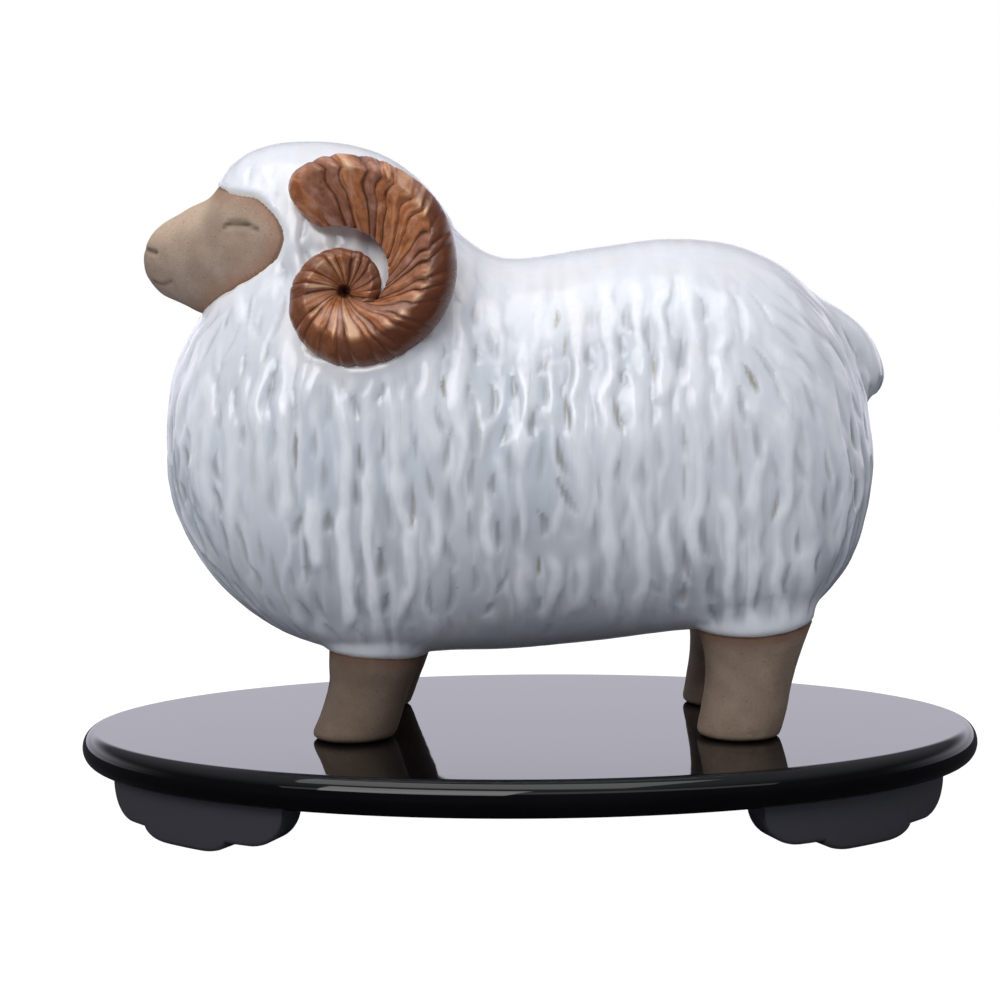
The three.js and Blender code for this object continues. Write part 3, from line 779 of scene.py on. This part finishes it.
def hornShape():
    bare = hornSection()
    folds = hornFolds(bare)
    degrees, across, coil, fold = bare.degrees, bare.across, bare.coil, folds.fold
    keel = bare.keel + 0.1 * (fold - 0.6)
    inward, outward = fromKeel(across, keel)
    power = horns["sectionRound"]
    innerLevel = (1 - coil) * horns["innerRise"] * bare.half + coil * (horns["pitY"] - bare.y)
    rise = bare.half * bare.size
    depth = rise - (rise - innerLevel * bare.size) * (0.3 * inward + 0.7 * inward ** power)
    flank = rise * np.maximum(1 - outward ** power, 0) ** (1 / power)
    depth = np.where(across > keel, flank, depth)
    # the folds fade at the root and the tip, and the flank outside the keel is smoother
    ends = smoothStep(114, 99, degrees) * smoothStep(0.05, 0.5, bare.toTip)
    strength = horns["relief"] * np.radians(bare.ridge) * np.maximum(bare.radius, 2.5)
    strength = np.minimum(strength, horns["reliefMost"]) * folds.strength * ends
    smoothFlank = smoothStep(86, 56, degrees) * (1 - 0.55 * smoothStep(-10, -75, degrees))
    outside = smoothStep(0, 0.2, outward)
    share = (1 - 0.45 * outward ** 0.6) * (1 - smoothFlank)
    share = share + smoothFlank * (1 - horns["flankCalm"] * outside)
    keelLine = bell(across - keel, 0.13) * (1 - 0.6 * coil) * ends
    relief = strength * share * (fold - 0.72 - horns["creaseDepth"] * folds.crease)
    relief += horns["keelRise"] * keelLine * fold
    relief += horns["lumps"] * folds.lumps * ends * bare.size
    depth = depth + relief
    radius = bare.radius + np.where(across > keel, 0.7 * relief * outward, 0)
    radius = radius + np.where(across < keel, -0.45 * relief * inward ** 3 * (1 - coil), 0)
    backRadius, backDepth = hornBack(bare, innerLevel)
    radius, depth = np.hstack([radius, backRadius]), np.hstack([depth, backDepth])
    for _ in range(2):
        radius = (np.roll(radius, 1, 1) + 4 * radius + np.roll(radius, -1, 1)) / 6
        depth = (np.roll(depth, 1, 1) + 4 * depth + np.roll(depth, -1, 1)) / 6
    angle = np.radians(degrees)
    pull = np.clip(1 - radius / 10, 0, 1) * coil
    x = horns["centre"][0] + np.cos(angle) * radius + pull * horns["pit"][0]
    z = horns["centre"][1] + np.sin(angle) * radius + pull * horns["pit"][1]
    # masks for the colours of the side that shows
    flankMask = outside * smoothStep(72, 42, degrees)
    flankMask = flankMask * (1 - 0.3 * smoothStep(-30, -110, degrees))
    onFunnel = smoothStep(-35, -75, degrees) * smoothStep(-345, -290, degrees)
    onFunnel = onFunnel * smoothStep(0.95, 0.4, inward) * smoothStep(0.1, 0.0, outward)
    onTop = smoothStep(25, 70, degrees) * outward
    # pale crests along the keel, on top and in the funnel: thinner glaze and painted highlight
    crestGlazeAndHighlight = smoothStep(0.6, 1.0, fold) * ends * np.maximum(keelLine + onTop, 0.85 * onFunnel)
    groove = 1 - fold + 0.4 * folds.crease
    groove = groove * (1 - horns["flankCalm"] * smoothFlank * outside) * ends
    # painted shade in the pit of the coil
    groove = np.maximum(groove, coil * smoothStep(3.2, 1.2, radius[:, :horns["front"]]))
    masks = {
        "groove": np.clip(groove, 0, 1), "flank": flankMask, "crestGlazeAndHighlight": np.clip(crestGlazeAndHighlight, 0, 1),
        "tint": folds.chance, "along": folds.phase * 3.4, "across": across * bare.half,
    }
    hidden = ((0, 0), (0, horns["back"]))
    masks = {key: np.pad(mask, hidden) for key, mask in masks.items()}
    return np.stack([x, bare.y + depth, z], axis=2), masks


hornRings, hornMasks = hornShape()


def makeHorn(side, name):
    points, faces = loft(hornRings * np.array([1, side, 1]) + lift)
    piece = makePiece(name, points, faces, "sheep", hornFinish)
    for key, mask in hornMasks.items():
        paint(piece, {key: np.r_[mask.ravel(), mask[0].mean(), mask[-1].mean()]})


makeHorn(-1, "horn_near")
makeHorn(1, "horn_far")
print("horns made")


# Fleece

fleece = {
    # rings and sides of the skins, where the one of the head begins, and how far each leg top reaches
    # below the end of the glaze and fades into its own shape
    "torso": (170, 150), "head": (110, 110), "headFrom": -97, "tail": (30, 40), "legTop": (30, 60),
    "legUnder": 0.4, "legFade": 14,
    "voxel": 1.1, "smoothRounds": 3, "creaseRounds": 40,
    # the tail grows out of the rump around this x and z, within these widths
    "tailJoin": (90, 124), "tailWidths": (10, 9), "tailRounds": 150,
    # sizes of lock: spacing of the ridges, length of their stretches, height, seed
    "locks": {"lockWide": (8.0, 15, 0.9, 11), "lockFine": (5.0, 11, 0.4, 12)},
    # unevenness: size of the lumps, height, seed, and the same where the fleece is lively
    "lumps": (22, 0.35, 17), "livelyLumps": (10, 0.2, 18),
    # dents, each from least to most, and the room that each keeps along, across and outwards
    "halfLength": (3.5, 9), "halfWidth": (1.1, 2.2), "depth": (0.4, 1.0), "room": (10, 5, 6),
    "tries": 9000, "rim": 0.08, "thinDents": 0.16, "seed": 7,
    # the rounded edge of the glaze at the face and its bead at the horns
    "lip": 1.7, "bead": 0.45,
}


def fleeceBlank():
    # torso, head, tail and the tops of the legs, each a closed skin
    headCount, headSides = fleece["head"]
    headRows = [row for row in evenRows(ram["head"], headCount) if row[0] > fleece["headFrom"]]
    parts = [loft(torsoRings(*fleece["torso"])), loft(headRings(headRows, headSides)),
             loft(tailRings(*fleece["tail"]))]
    for side in (-1, 1):
        for rows, front in ((ram["shoulder"], True), (ram["haunch"], False)):
            rings = legRings(rows, *fleece["legTop"], side * ram["legSpread"])
            start = rows[0][0]
            fade = 1 - smoothStep(0, fleece["legFade"], rings[..., 2] - start)
            rings[..., 2] += fade * (legBorder(rings[..., 0], front) - fleece["legUnder"] - start)
            parts.append(loft(rings))
    return joined(parts)


def remeshed(name, points, faces):
    # one skin around all the parts
    mesh = meshOf("blank", points, faces)
    blank = addObject("blank", mesh)
    modifier = blank.modifiers.new("skin", "REMESH")
    modifier.mode = "VOXEL"
    modifier.voxel_size = fleece["voxel"] * mm
    seen = blank.evaluated_get(bpy.context.evaluated_depsgraph_get())
    result = bpy.data.meshes.new_from_object(seen)
    bpy.data.objects.remove(blank)
    bpy.data.meshes.remove(mesh)
    result.name = name
    return result


def softened(mesh):
    # smooth the skin, most in the inward creases where lumps meet and where the tail grows out
    edges = edgesOf(mesh)
    points = relaxed(pointsOf(mesh), edges, fleece["smoothRounds"], np.full(len(mesh.vertices), 0.8))
    movePoints(mesh, points)
    pull = np.einsum("ij,ij->i", neighbourMean(points, edges) - points, normalsOf(mesh))
    crease = smoothStep(0.02, 0.07, pull)
    for _ in range(14):
        crease = np.maximum(crease * 0.97, neighbourMean(crease, edges))
    crease = smoothStep(0.04, 0.4, crease)
    crease *= 1 - smoothStep(38, 33, points[:, 2])
    points = relaxed(points, edges, fleece["creaseRounds"], crease)
    (x, z), (wide, high) = fleece["tailJoin"], fleece["tailWidths"]
    join = np.exp(-((points[:, 0] - x) / wide) ** 2 - ((points[:, 2] - z) / high) ** 2)
    points = relaxed(points, edges, fleece["tailRounds"], join)
    movePoints(mesh, points)
    normals = normalsOf(mesh)
    for _ in range(4):
        normals = neighbourMean(normals, edges)
    return points, normals / np.linalg.norm(normals, axis=1)[:, None]


def glazeEnds(points):
    # distances to the places where the glaze ends: around the face, on the legs and at the horns
    side = points[:, [0, 2]]
    fromFace = distanceToLine(side, border)
    inFace = isInside(side, faceOutline) & (points[:, 0] < -60)
    fromFace = np.where(inFace, -fromFace, fromFace) + 0.5 * softNoise(points / 5, 3, 2)
    farOff = np.full(len(points), 50.0)
    fromLeg = farOff
    for rows, front in ((ram["frontLeg"], True), (ram["hindLeg"], False)):
        _, x, halfWide = rows[5]
        radius = np.hypot(points[:, 0] - x, np.abs(points[:, 1]) - ram["legSpread"])
        above = points[:, 2] - legBorder(points[:, 0], front)
        fromLeg = np.where(radius < halfWide + 6, np.minimum(fromLeg, above), fromLeg)
    hornSkin = (hornRings[::5, :horns["front"]:3] * np.array([1, -1, 1])).reshape(-1, 3)
    tree = searchTree(hornSkin)
    fromHorn = farOff.copy()
    # only the sides of the head and neck come near a horn, and the far one mirrors the near one
    nearHorn = (np.abs(points[:, 0] - horns["centre"][0]) < 48) & (points[:, 2] > 95)
    for i in np.flatnonzero(nearHorn & (np.abs(points[:, 1]) > 15)):
        x, y, z = points[i]
        fromHorn[i] = tree.find((x, -abs(y), z))[2]
    return fromFace, fromLeg, fromHorn


def livelyShare(points, normals, edge):
    # how much relief the fleece has: less on the back, the belly and the crown, and near its edges
    lively = 1 - 0.85 * smoothStep(0.3, 0.85, normals[:, 2])
    lively *= 0.12 + 0.88 * smoothStep(0.8, 7, edge)
    lively *= 1 - 0.85 * smoothStep(-0.5, -0.92, normals[:, 2])
    crown = smoothStep(142, 160, points[:, 2]) * smoothStep(-20, -40, points[:, 0])
    lively *= 1 - 0.35 * crown
    return lively * (0.62 + 0.38 * smoothStep(-0.5, 0.3, softNoise(points / 24, 31)))


def rumpShare(points):
    return smoothStep(45, 88, points[:, 0]) * smoothStep(70, 115, points[:, 2])


def flowAt(points, normals):
    # the way the dents run: down the sides, and down towards the tail over the rump
    rump = rumpShare(points)[:, None]
    way = np.array([[0.02, 0, -1.0]]) * (1 - rump) + np.array([[0.72, 0, -0.7]]) * rump
    way = way - normals * np.sum(way * normals, axis=1)[:, None]
    return way / np.maximum(np.linalg.norm(way, axis=1), 1e-6)[:, None]


def ridgeField(u, v, w, spacing, length, seed):
    # 1 along ridges that run along v, sway, meet and run out
    slow = np.stack([u / 8, v / 12, w / 30], axis=1)
    sway = 2.8 * softNoise(slow, seed) + 1.3 * softNoise(slow * 2.1, seed + 1)
    strong = softNoise(np.stack([u / spacing, v / length, w / length], axis=1), seed + 2)
    return smoothStep(-0.65, 0.4, strong) * (0.5 + 0.5 * np.cos(2 * math.pi * (u + sway) / spacing))


def lockFields(points, normals):
    # for each size of lock a field of ridges: one pattern for the sides, one for the chest and
    # the rear, one that runs back over the rump
    ends = smoothStep(0.45, 0.75, np.abs(normals[:, 0]))
    rump = rumpShare(points) * (1 - ends)
    shares = np.stack([(1 - ends) * (1 - rump), ends, rump])
    shares /= np.sum(shares, axis=0)
    x, y, z = points.T
    aside, ahead = 0.69 * x + 0.72 * z, 0.72 * x - 0.69 * z
    places = [(x, z, y), (y, z, x), (aside, ahead, y)]
    fields = {}
    for name, (spacing, length, _, seed) in fleece["locks"].items():
        fields[name] = sum(share * ridgeField(*spot, spacing, length, seed + 5 * k)
                           for k, (share, spot) in enumerate(zip(shares, places)))
    return fields


def carveDents(points, normals, lively, fields):
    # teardrop dents in the valleys between the ridges, and the masks for their colour
    rng = np.random.default_rng(fleece["seed"])
    tree = searchTree(points)
    flow = flowAt(points, normals)
    height, dent, thin = np.zeros((3, len(points)))
    valleys = np.flatnonzero((fields["lockWide"] < 0.2) & (lively > 0.2))
    centres = np.full((1, 3), 1e3)
    roomAlong, roomAcross, roomOut = fleece["room"]
    for i in rng.choice(valleys, fleece["tries"]):
        middle, ahead, out = points[i], flow[i], normals[i]
        sway = rng.normal(0, 0.13)
        across = np.cross(out, ahead)
        ahead, across = (ahead * math.cos(sway) + across * math.sin(sway),
                         across * math.cos(sway) - ahead * math.sin(sway))
        size = rng.uniform(0.0, 1.0, 4)
        bow = rng.normal(0, 0.9)
        gap = centres - middle
        near = (gap @ ahead / roomAlong) ** 2 + (gap @ across / roomAcross) ** 2
        near = np.sqrt(near + (gap @ out / roomOut) ** 2)
        if near.min() < 1:
            continue
        centres = np.vstack([centres, middle])
        halfLength = np.interp(size[0], [0, 1], fleece["halfLength"])
        halfWidth = np.interp(size[1], [0, 1], fleece["halfWidth"])
        deep = np.interp(size[2] ** 1.3, [0, 1], fleece["depth"])
        found = np.array([index for _, index, _ in tree.find_range(middle, halfLength + 3)])
        offset = points[found] - middle
        keep = (np.abs(offset @ ahead) < halfLength) & (np.abs(offset @ out) < 5)
        keep &= normals[found] @ out > 0.3
        found, offset = found[keep], offset[keep]
        u = offset @ ahead / halfLength
        # wide below and drawn out above
        width = halfWidth * (1 - u * u) ** 0.5 * (0.78 + 0.32 * u)
        v = np.abs(offset @ across - bow * (u * u - 0.4)) / np.maximum(width, 0.4)
        ends = (1 - u * u) ** 0.8
        bowl = np.clip(1 - v * v, 0, 1) ** 1.3 * ends
        height[found] = np.minimum(height[found], -deep * bowl)
        height[found] += fleece["rim"] * (bell(v - 1.3, 0.4) * ends)
        dent[found] = np.maximum(dent[found], bowl ** 0.7 * (0.25 + 0.75 * deep))
        if size[3] < fleece["thinDents"]:
            thin[found] = np.maximum(thin[found], bowl * (0.5 + 3 * size[3]))
    print("dents of the fleece:", len(centres) - 1)
    return height * lively, dent * lively, thin * smoothStep(0.2, 0.6, lively)


def makeFleece():
    mesh = remeshed("fleece", *fleeceBlank())
    points, normals = softened(mesh)
    fromFace, fromLeg, fromHorn = glazeEnds(points)
    edge = np.minimum(np.minimum(np.maximum(fromFace, 0), np.maximum(fromLeg, 0)), fromHorn * 0.9)
    lively = livelyShare(points, normals, edge)
    fields = lockFields(points, normals)
    height, dent, thin = carveDents(points, normals, lively, fields)
    # the outline seen from the side stays smooth
    sideways = smoothStep(0.1, 0.5, np.abs(normals[:, 1]))
    relief = lively * (0.35 + 0.65 * sideways)
    height *= 0.5 + 0.5 * sideways
    for name, (_, _, rise, _) in fleece["locks"].items():
        height += rise * (smoothStep(0, 1, fields[name]) - 0.4) * relief
    wide, rise, seed = fleece["lumps"]
    smallWide, smallRise, smallSeed = fleece["livelyLumps"]
    lumps = smallRise * softNoise(points / smallWide, smallSeed) * lively
    height += rise * softNoise(points / wide, seed) + lumps
    # the glaze ends in a small bead and a whiter halo around the horns, which is partly painted light
    # against their shade
    height += fleece["bead"] * (bell(fromHorn - 1.5, 0.9) - 1.5 * bell(fromHorn, 0.7))
    haloAndPaintedLight = bell(np.maximum(fromHorn - 0.4, 0), 1.1)
    # painted light: the fleece on the head beside the horns is lightened
    haloAndPaintedLight = np.maximum(haloAndPaintedLight, 0.3 * smoothStep(11, 5, fromHorn) * smoothStep(-40, -46, points[:, 0]))
    # and in a rounded lip over the bare clay of the face
    t = np.clip(1 - fromFace / fleece["lip"], 0, 1)
    height -= ram["faceStep"] * (1 - np.sqrt(np.clip(1 - t * t, 0, 1)))
    height -= np.clip(-fromFace, 0, 2.0) * 0.9
    points = points + normals * height[:, None]
    movePoints(mesh, points + lift)
    # the valleys are painted darker low on the body: painted shade
    low = smoothStep(95, 45, points[:, 2]) * (0.3 + 0.7 * smoothStep(-90, -50, points[:, 0]))
    piece = placePiece("fleece", mesh, "sheep", fleeceFinish)
    paint(piece, {"dent": dent, "thin": thin, "lively": lively, "haloAndPaintedLight": haloAndPaintedLight, "low": low, **fields,
                  "edge": np.clip(edge, 0, 20)})
    print("fleece made,", len(mesh.polygons), "faces")


makeFleece()


# Face

face = {
    "rows": 420, "sides": 190, "endsAt": -60,
    "eye": [[-85.0, 148.2], [-82.6, 149.1], [-79.4, 148.8], [-76.3, 147.8], [-74.1, 146.6]],
    "eyeDepth": 0.9, "lidLevel": 146.5, "lidRise": 0.22, "browRise": 0.16,
    "nostril": [[-111.7, 143.7], [-110.4, 143.2], [-108.1, 142.3]],
    "mouth": [[-109.9, 133.9], [-108.2, 133.1], [-106.0, 132.9], [-103.6, 133.6]],
    # depth and width of a cut, how dark it is and over what width
    "nostrilCut": (0.75, 0.8, 0.75, 0.75), "mouthCut": (0.45, 0.6, 0.45, 0.5),
    "eyeDark": (0.85, 0.45), "borderDark": 0.55, "flash": 0.8, "paleAndPaintedLight": 0.9,
}


def makeFace():
    rows = [row for row in evenRows(ram["head"], face["rows"]) if row[0] < face["endsAt"]]
    points, faces = loft(headRings(rows, face["sides"], ram["faceStep"]))
    piece = makePiece("face", points, faces, "sheep", clayFinish)
    normals = normalsOf(piece.data)
    side = points[:, [0, 2]]
    height = 0.12 * softNoise(points / 6, 21, 2) + 0.03 * softNoise(points / 1.3, 22)
    facing = smoothStep(0.15, 0.4, np.abs(normals[:, 1]))
    # the closed eye: a sharp upper line over a shallow hollow that rises to the lower lid
    eye = rowsAt(face["eye"], np.linspace(0, 1, 31))
    level = np.interp(points[:, 0], eye[:, 0], eye[:, 1])
    below = level - points[:, 2]
    share = (points[:, 0] - eye[0, 0]) / (eye[-1, 0] - eye[0, 0])
    opening = np.clip(1 - (2 * share - 1) ** 2, 0, 1) ** 0.8 * facing
    lidDrop = np.maximum(level - face["lidLevel"], 0.7)
    hollow = smoothStep(-0.3, 0.1, below) * (1 - smoothStep(0.2, 1, below / lidDrop))
    height -= face["eyeDepth"] * opening * hollow
    lid, brow = bell(below - lidDrop - 0.2, 0.6), bell(below + 1.3, 1.0)
    height += opening * (face["lidRise"] * lid + face["browRise"] * brow)
    dark, width = face["eyeDark"]
    shade = bell(distanceToLine(side, eye) - 0.05, width) * facing * dark
    nostril, mouth = np.array(face["nostril"]), rowsAt(face["mouth"], np.linspace(0, 1, 21))
    for line, cut in ((nostril, face["nostrilCut"]), (mouth, face["mouthCut"])):
        away = distanceToLine(side, line)
        depth, width, dark, darkWidth = cut
        height -= depth * bell(away, width)
        shade = np.maximum(shade, dark * bell(away, darkWidth))
    # painted shade right under the glaze, and flashed red beside it
    fromBorder = distanceToLine(side, border)
    sway = softNoise(points / 3, 23)
    shade = np.maximum(shade, face["borderDark"] * smoothStep(1.1, 0.2, fromBorder + 0.3 * sway))
    movePoints(piece.data, points + normals * height[:, None] + lift)
    paint(piece, {
        "shade": shade,
        "flash": smoothStep(7, 0.5, fromBorder + 2 * sway) * face["flash"],
        # painted light: paler where the face looks up
        "paleAndPaintedLight": face["paleAndPaintedLight"] * smoothStep(0.1, 0.75, normals[:, 2]),
    })
    print("face made")


makeFace()


# Legs

legs = {
    "rings": 70, "sides": 72, "bumps": 0.22, "grain": 0.03,
    "borderDark": 0.75, "soleDark": 0.3, "frontDark": 0.62, "hindDark": 0.24,
}


def makeLeg(name, side, front, seed):
    rows = ram["frontLeg" if front else "hindLeg"]
    points, faces = loft(legRings(rows, legs["rings"], legs["sides"], side * ram["legSpread"]))
    piece = makePiece(name, points, faces, "sheep", clayFinish)
    bumps = legs["bumps"] * softNoise(points / 13, seed, 2)
    bumps += legs["grain"] * softNoise(points / 1.5, seed + 1)
    bumps *= smoothStep(0.2, 2.5, points[:, 2])
    fromGlaze = legBorder(points[:, 0], front) - points[:, 2]
    sway = softNoise(points / 2.5, seed + 2)
    # painted shade: dark under the glaze and at the soles, and over the whole leg, most on the front legs
    shade = legs["borderDark"] * smoothStep(1.0, 0.1, fromGlaze + 0.25 * sway)
    shade += legs["soleDark"] * smoothStep(1.2, 0.2, points[:, 2])
    paint(piece, {
        "shade": np.maximum(shade, legs["frontDark" if front else "hindDark"]),
        "flash": smoothStep(5, 0.5, fromGlaze + 1.5 * sway),
    })
    movePoints(piece.data, points + normalsOf(piece.data) * bumps[:, None] + lift)


for side, sideName in ((-1, "near"), (1, "far")):
    makeLeg("leg_front_" + sideName, side, True, 40 + side)
    makeLeg("leg_hind_" + sideName, side, False, 50 + side)
print("legs made")


# Stand

stand = {
    "length": 270, "width": 171, "top": 25.0, "thick": 10.0, "rim": 4.2,
    "boardSides": 220, "boardRings": (40, 12, 6, 4.6),   # insets of the rings on the flat faces
    "footLength": 69, "footThick": 11, "footInset": 6, "footEdge": 1.6, "footAngle": 43,
    "lobeRise": 3.2, "lobeEnds": (0.2, 0.46, 0.68), "footTop": 15.05, "footClear": 0.3,
}


def ovalPoints(angle, inset, z):
    # points of the oval that runs at an inset from the edge of the stand
    a, b = stand["length"] / 2 - stand["rim"], stand["width"] / 2 - stand["rim"]
    angle = np.atleast_1d(angle)
    normal = np.stack([b * np.cos(angle), a * np.sin(angle)], axis=1)
    normal /= np.linalg.norm(normal, axis=1)[:, None]
    flat = np.stack([a * np.cos(angle), b * np.sin(angle)], axis=1) + normal * (stand["rim"] - inset)
    return np.hstack([flat, np.full((len(angle), 1), z)])


def makeBoard():
    angle = np.arange(stand["boardSides"]) * 2 * math.pi / stand["boardSides"]
    half = stand["thick"] / 2
    rings = [ovalPoints(angle, inset, stand["top"]) for inset in stand["boardRings"]]
    for turn in np.linspace(0, math.pi, 25):
        inset = stand["rim"] * (1 - math.sin(turn))
        rings.append(ovalPoints(angle, inset, stand["top"] - half * (1 - math.cos(turn))))
    bottom = stand["top"] - stand["thick"]
    rings += [ovalPoints(angle, inset, bottom) for inset in stand["boardRings"][::-1]]
    points, faces = loft(np.array(rings))
    makePiece("board", points, faces, "stand_board", boardFinish)


def footLow(share):
    # the lower edge of a bracket foot: a middle lobe, a level side lobe above it, and a quick round rise
    def rounded(value):
        return 1 - math.sqrt(max(1 - value ** 2, 0))
    flat, middle, side = stand["lobeEnds"]
    if share < flat:
        return 0.0
    if share < middle:
        return stand["lobeRise"] * rounded((share - flat) / (middle - flat))
    if share < side:
        return stand["lobeRise"]
    bottom = stand["top"] - stand["thick"]
    rise = bottom - stand["footClear"] - stand["footEdge"] - stand["lobeRise"]
    return stand["lobeRise"] + 0.9 * rise * rounded((share - side) / (1 - side))


def ovalAngle(start, along):
    # the angle that lies so many millimetres along the oval of the feet
    angle, steps, small = start, 60, 1e-3
    for _ in range(steps):
        here, ahead = ovalPoints(np.array([angle, angle + small]), stand["footInset"], 0)
        angle += along / steps / np.linalg.norm(ahead - here) * small
    return angle


def makeFoot(name, right, back, replaced):
    edge, thick, top = stand["footEdge"], stand["footThick"], stand["footTop"]
    flat, middle, side = stand["lobeEnds"]
    quarter = np.sin(np.linspace(0, math.pi / 2, 14))
    half = np.r_[np.linspace(0, flat, 4), flat + (middle - flat) * quarter[1:],
                 np.linspace(middle, side, 6)[1:], side + (1 - side) * quarter[1:]]
    rings = []
    for share in np.r_[-half[:0:-1], half]:
        low = footLow(abs(share))
        angle = ovalAngle(math.radians(stand["footAngle"]), share * stand["footLength"] / 2)
        profile = [(0, top), (0, (top + low + edge) / 2)]
        for turn in np.linspace(0, math.pi / 2, 6):
            profile.append((edge - edge * math.cos(turn), low + edge - edge * math.sin(turn)))
        profile += [(thick - inset, z) for inset, z in profile[::-1]]
        rings.append([ovalPoints(angle, stand["footInset"] + inset, z)[0] for inset, z in profile])
    points, faces = loft(np.array(rings) * np.array([right, back, 1]))
    piece = makePiece(name, points, faces, replaced, footFinish)
    piece.data.set_sharp_from_angle(angle=math.radians(50))


makeBoard()
for right, rightName in ((-1, "left"), (1, "right")):
    for back, backName in ((-1, "front"), (1, "back")):
        footName = "foot_" + backName + "_" + rightName
        makeFoot(footName, right, back, "stand_" + footName)
print("stand made")


# Floor and light

studio = {
    "floorReach": 6.0, "floor": (0.42, 0.445, 0.50), "mirror": (0.015, 0.015, 0.018), "roughness": 0.9,
    "white": 1.34, "seen": 0.75,
    # strength of the sky on each side, and its tint
    "above": 0.5, "front": 0.08, "behind": 1.46, "behindLow": 1.08, "behindHigh": 0.22, "ground": 0.05,
    "frontTint": (0.94, 0.97, 1.0), "behindTint": (0.964, 0.946, 1.08),
    # place, aim, size and watts
    "lamps": {
        "softboxTop": [(-0.1, -0.3, 1.1), (0, 0, 0.1), (1.1, 0.7), 5.5],
        "softboxFront": [(-0.57, -1.4, 1.08), (-0.02, 0, 0.12), (1.1, 0.8), 11.6],
        "stripFront": [(0, -1.5, 1.0), (0, 0, 0.1), (3.4, 0.3), 3.1],
    },
}


def makeFloor():
    far = studio["floorReach"]
    mesh = bpy.data.meshes.new("floor")
    mesh.from_pydata([(-far, -far, 0), (far, -far, 0), (far, far, 0), (-far, far, 0)], [], [(0, 1, 2, 3)])
    material, tree, shader = newMaterial("paperFloor")
    # the camera sees nearly white paper with a faint shadow, the ram is lit by a darker one, and the
    # lacquer mirrors a dark one
    rays = node(tree, "ShaderNodeLightPath").outputs
    color = blendColor(tree, rays["Is Glossy Ray"], studio["floor"], studio["mirror"])
    feed(tree, shader.inputs["Base Color"], color)
    feed(tree, shader.inputs["Roughness"], studio["roughness"])
    glow = node(tree, "ShaderNodeEmission", {"Color": (1, 1, 1, 1), "Strength": studio["white"]})
    share = times(tree, rays["Is Camera Ray"], studio["seen"])
    inputs = {0: share, 1: shader.outputs[0], 2: glow.outputs[0]}
    both = node(tree, "ShaderNodeMixShader", inputs).outputs[0]
    tree.links.new(both, tree.nodes["Material Output"].inputs[0])
    mesh.materials.append(material)
    addObject("floor", mesh)


def makeLamp(name, where, aim, size, power):
    data = bpy.data.lights.new(name, "AREA")
    data.shape = "RECTANGLE"
    data.size, data.size_y = size
    data.energy = power
    lamp = addObject(name, data)
    lamp.location = where
    lamp.rotation_euler = (Vector(aim) - Vector(where)).to_track_quat("-Z", "Y").to_euler()


def makeSky():
    world = bpy.data.worlds.new("studio")
    bpy.context.scene.world = world
    world.use_nodes = True
    tree = world.node_tree
    tree.nodes.clear()
    way = node(tree, "ShaderNodeTexCoord").outputs["Generated"]
    parts = node(tree, "ShaderNodeSeparateXYZ", {0: way}).outputs
    # bright low behind the stand, for the mirror of its top, and darker above that
    band = ramp(tree, parts["Z"], 0.13, 0.25, studio["behindLow"], studio["behind"])
    fade = ramp(tree, parts["Z"], 0.2, 0.44, 1, studio["behindHigh"] / studio["behind"])
    behind = ramp(tree, parts["Y"], -0.3, 0.7)
    light = blendValue(tree, behind, studio["front"], times(tree, band, fade))
    light = blendValue(tree, ramp(tree, parts["Z"], 0.35, 0.85), light, studio["above"])
    light = blendValue(tree, ramp(tree, parts["Z"], -0.25, 0.0), studio["ground"], light)
    tint = blendColor(tree, behind, studio["frontTint"], studio["behindTint"])
    soft = node(tree, "ShaderNodeBackground", {"Color": tint, "Strength": light}).outputs[0]
    # the camera itself sees plain white
    white = node(tree, "ShaderNodeBackground", {"Color": (1, 1, 1, 1), "Strength": 1.0}).outputs[0]
    seen = node(tree, "ShaderNodeLightPath").outputs["Is Camera Ray"]
    both = node(tree, "ShaderNodeMixShader", {0: seen, 1: soft, 2: white}).outputs[0]
    node(tree, "ShaderNodeOutputWorld", {0: both})


makeFloor()
makeSky()
for lampName, settings in studio["lamps"].items():
    makeLamp(lampName, *settings)
bpy.context.scene.view_settings.view_transform = "Standard"
print("studio lit")
